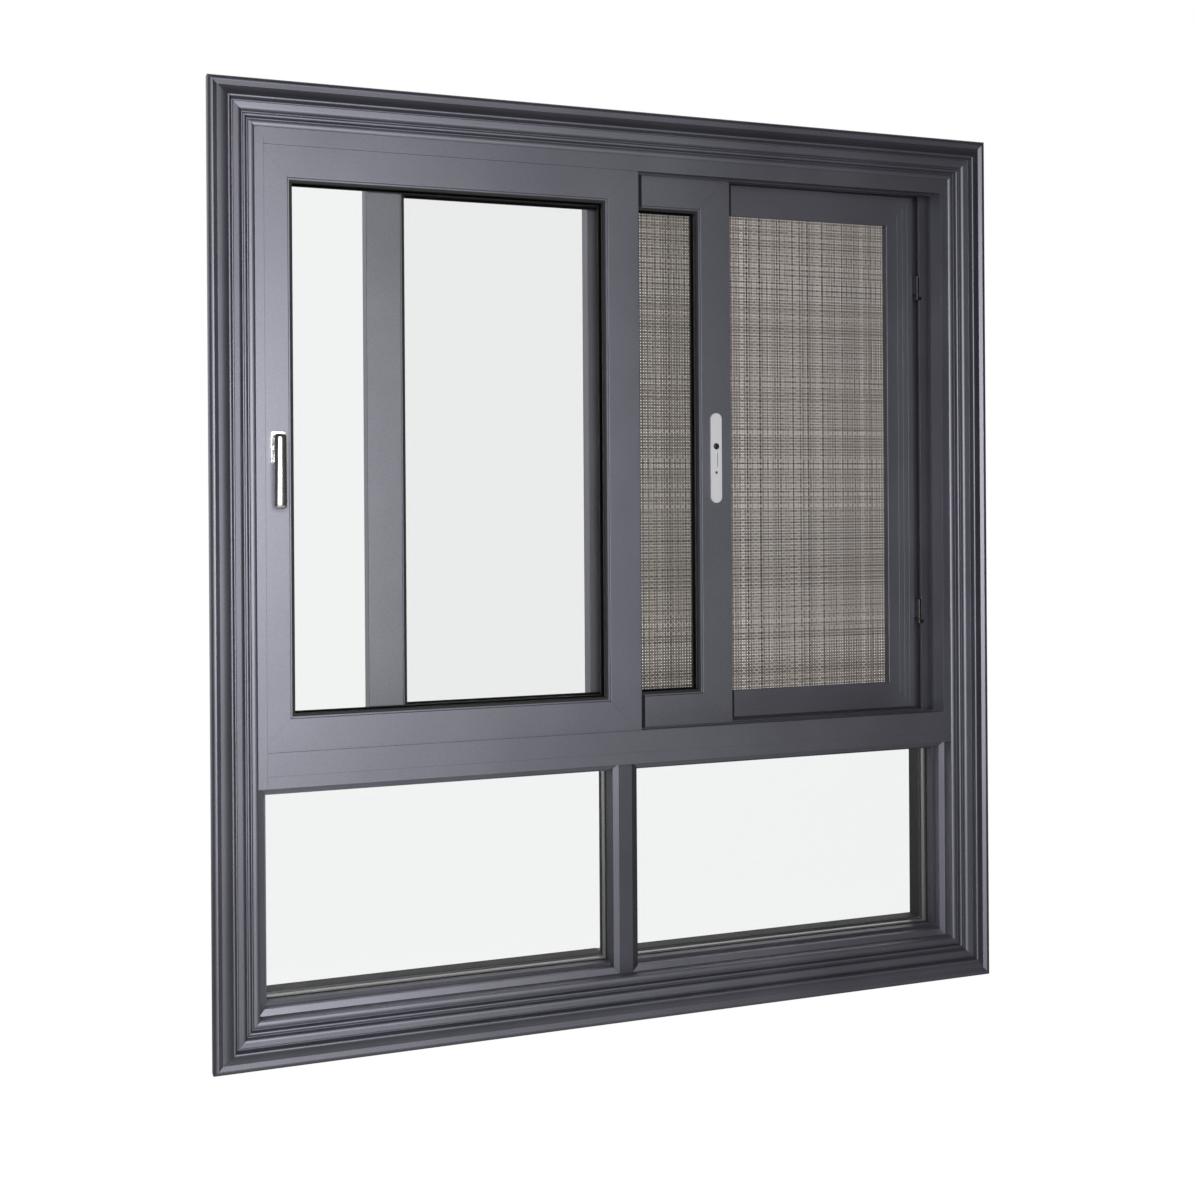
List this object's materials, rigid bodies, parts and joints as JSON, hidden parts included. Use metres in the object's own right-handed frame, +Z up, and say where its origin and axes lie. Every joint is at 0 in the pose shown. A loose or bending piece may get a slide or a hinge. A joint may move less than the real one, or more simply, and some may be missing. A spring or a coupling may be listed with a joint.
{
  "type": "three-track sliding window over two fixed lights",
  "caption": "Aluminium sliding window with a moulded casing, glass sashes, a hinged screen leaf and fixed lights below a transom.",
  "frame": {"origin": "middle of the strip of the bottom casing's back face that lies flat on the wall, on the window's centre line", "axes": "+Z up, +X to the right seen from the room, -Y towards the room, Y = 0 is the wall's face"},
  "size_m": [1.365, 0.1482, 1.5],
  "materials": {
    "frame_powder_coat": "metallic grey powder coat on aluminium, satin",
    "clear_glass": "clear float glass",
    "black_rubber": "black weather-seal rubber",
    "spacer_aluminium": "grey anodised spacer bar",
    "roller_nylon": "white nylon wheel",
    "screen_weave": "woven wire mesh, taupe coated",
    "hinge_black": "black coated steel",
    "handle_chrome": "polished plating",
    "lock_silver": "pale silver anodised plate"
  },
  "bodies": {
    "root": {"casing_bottom": "frame_powder_coat", "casing_head": "frame_powder_coat", "casing_left": "frame_powder_coat", "casing_right": "frame_powder_coat", "frame_bottom": "frame_powder_coat", "frame_head": "frame_powder_coat", "frame_left_jamb": "frame_powder_coat", "frame_right_jamb": "frame_powder_coat", "handle_base": "handle_chrome", "handle_lever": "handle_chrome", "hinge_lower": "hinge_black", "hinge_upper": "hinge_black", "left_light_beads": "frame_powder_coat", "left_light_gasket": "black_rubber", "left_light_glass": "clear_glass", "left_light_spacer": "spacer_aluminium", "left_sash_bottom_rail": "frame_powder_coat", "left_sash_gasket": "black_rubber", "left_sash_glass": "clear_glass", "left_sash_left_stile": "frame_powder_coat", "left_sash_right_stile": "frame_powder_coat", "left_sash_rollers": "roller_nylon", "left_sash_spacer": "spacer_aluminium", "left_sash_top_rail": "frame_powder_coat", "lock_plate": "lock_silver", "middle_sash_bottom_rail": "frame_powder_coat", "middle_sash_gasket": "black_rubber", "middle_sash_glass": "clear_glass", "middle_sash_left_stile": "frame_powder_coat", "middle_sash_right_stile": "frame_powder_coat", "middle_sash_rollers": "roller_nylon", "middle_sash_spacer": "spacer_aluminium", "middle_sash_top_rail": "frame_powder_coat", "mullion": "frame_powder_coat", "right_light_beads": "frame_powder_coat", "right_light_gasket": "black_rubber", "right_light_glass": "clear_glass", "right_light_spacer": "spacer_aluminium", "screen_bottom_rail": "frame_powder_coat", "screen_left_stile": "frame_powder_coat", "screen_mesh": "screen_weave", "screen_right_stile": "frame_powder_coat", "screen_spline": "black_rubber", "screen_top_rail": "frame_powder_coat", "sill_track": "frame_powder_coat", "transom": "frame_powder_coat"}
  },
  "joints": []
}
